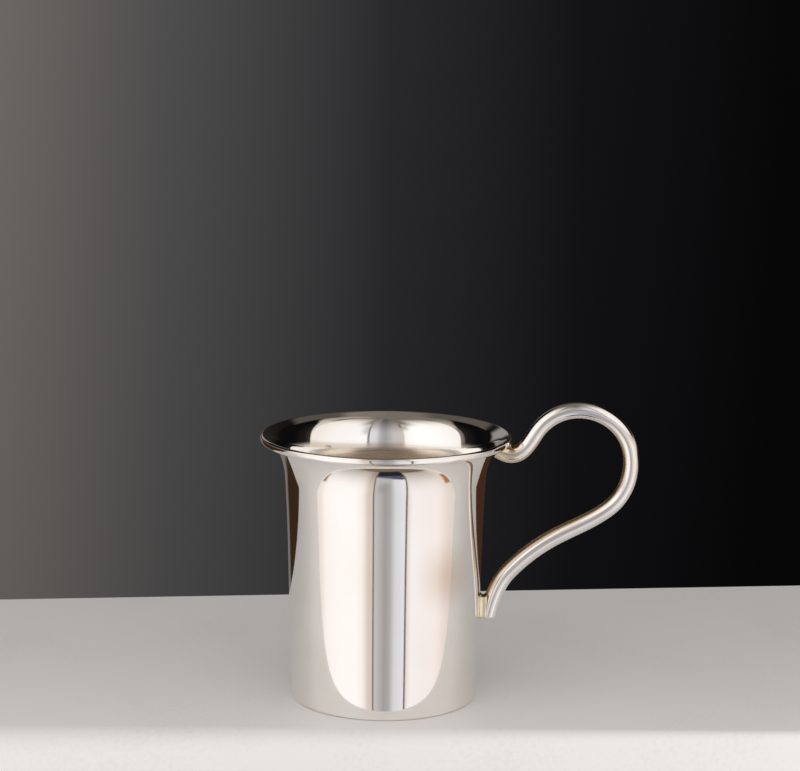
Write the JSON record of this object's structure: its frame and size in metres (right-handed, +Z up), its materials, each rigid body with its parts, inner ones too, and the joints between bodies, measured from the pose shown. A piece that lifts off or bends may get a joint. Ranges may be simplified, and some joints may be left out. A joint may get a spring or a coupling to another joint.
{
  "type": "christening cup",
  "caption": "Small silver drinking cup with a tapering round body, a flared lip edged with wire, a flat base and a bent round rod as the handle, soldered under the lip and low on the side.",
  "frame": {"origin": "centre of the base's underside, on the axis of the cup", "axes": "+X towards the handle, +Z up along the axis and out of the mouth, Y across the handle"},
  "size_m": [0.1059, 0.07, 0.0843],
  "materials": {
    "polished_silver": "mirror polished silver",
    "base_silver": "polished silver, worn by standing",
    "rod_silver": "hand polished silver rod",
    "hard_solder": "silver solder, slightly yellow"
  },
  "bodies": {
    "root": {"body_wall": "polished_silver", "base_disc": "base_silver", "base_seam_solder": "hard_solder", "mouth_wire": "polished_silver", "mouth_wire_solder": "hard_solder", "handle_rod": "rod_silver", "upper_handle_solder": "hard_solder", "lower_handle_lug": "hard_solder"}
  },
  "joints": []
}
